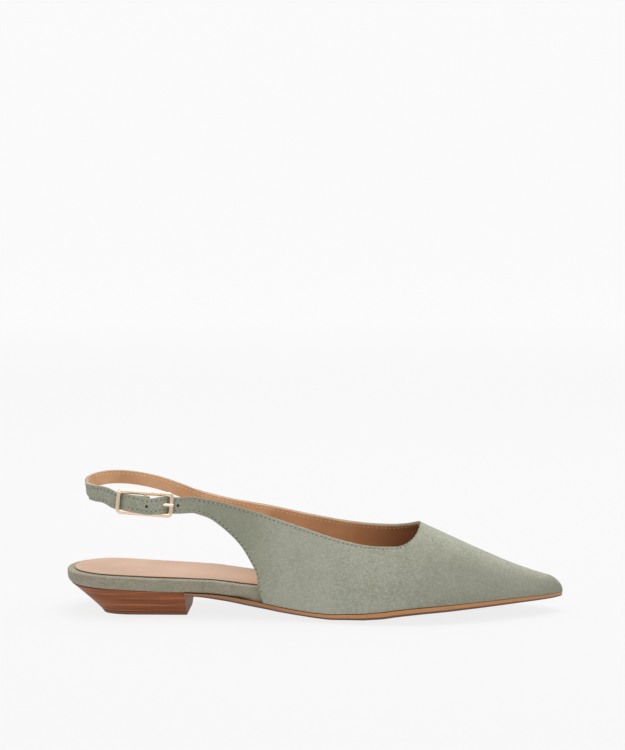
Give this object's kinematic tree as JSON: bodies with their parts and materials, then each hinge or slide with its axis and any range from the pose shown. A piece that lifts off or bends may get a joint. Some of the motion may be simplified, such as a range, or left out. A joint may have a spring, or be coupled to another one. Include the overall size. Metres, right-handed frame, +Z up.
{
  "type": "slingback shoe",
  "caption": "Woman's slingback flat for the right foot, with a pointed suede toe, a buckled heel strap and a low stacked leather heel.",
  "frame": {"origin": "middle of the shoe's plan, on the floor", "axes": "+X to the toe, +Y to the inner side of the foot, +Z up"},
  "size_m": [0.27, 0.077, 0.0733],
  "materials": {
    "suede": "sage green suede with a short nap",
    "sock_leather": "smooth beige lining leather",
    "sole_leather": "cut and waxed tan sole leather",
    "stacked_leather": "stacked leather, stained brown and polished",
    "top_piece": "dark brown wearing piece",
    "rose_gold": "polished pale rose gold plate"
  },
  "bodies": {
    "root": {"outsole": "sole_leather", "heel_block": "stacked_leather", "heel_top_piece": "top_piece", "footbed": "suede", "sock": "sock_leather", "upper": "suede", "sling_strap": "suede", "buckle_strap": "suede", "buckle_frame": "rose_gold", "buckle_prong": "rose_gold"}
  },
  "joints": []
}
